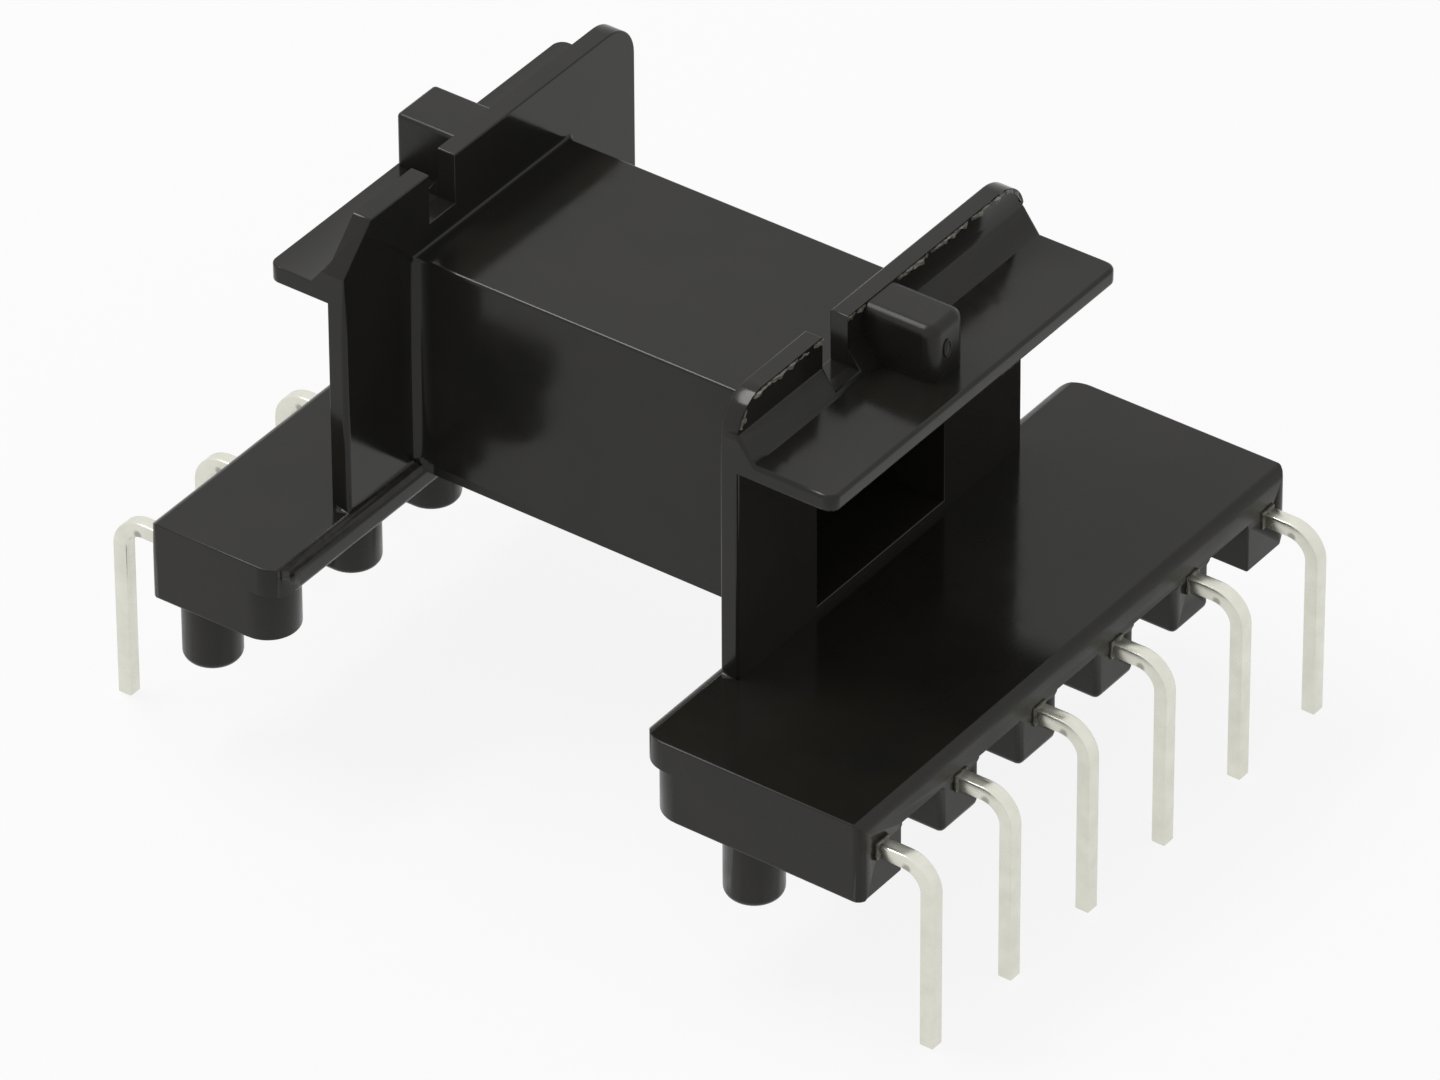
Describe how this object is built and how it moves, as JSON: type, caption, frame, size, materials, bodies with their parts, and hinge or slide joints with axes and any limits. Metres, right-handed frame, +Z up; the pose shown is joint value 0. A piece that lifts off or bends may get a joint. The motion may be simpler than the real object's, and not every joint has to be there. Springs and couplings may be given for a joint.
{
  "type": "transformer coil former",
  "caption": "Glossy black coil former for a small E-core transformer, with flanges round a square winding tube, core shelves, and rails of bent square pins for a circuit board.",
  "frame": {"origin": "centre of the part's box, at the tips of the pins", "axes": "+X along the winding axis towards the deep rail, +Z up and away from the circuit board, -Y towards the flange corner with the straight bevel"},
  "size_m": [0.0282, 0.0206, 0.0166],
  "materials": {
    "moulding": "glossy black thermoset moulding",
    "plated_pins": "satin tin plating"
  },
  "bodies": {
    "root": {"coil_former": "moulding", "pin_1": "plated_pins", "pin_2": "plated_pins", "pin_3": "plated_pins", "pin_4": "plated_pins", "pin_5": "plated_pins", "pin_6": "plated_pins", "pin_7": "plated_pins", "pin_8": "plated_pins", "pin_9": "plated_pins", "pin_10": "plated_pins", "pin_11": "plated_pins", "pin_12": "plated_pins"}
  },
  "joints": []
}
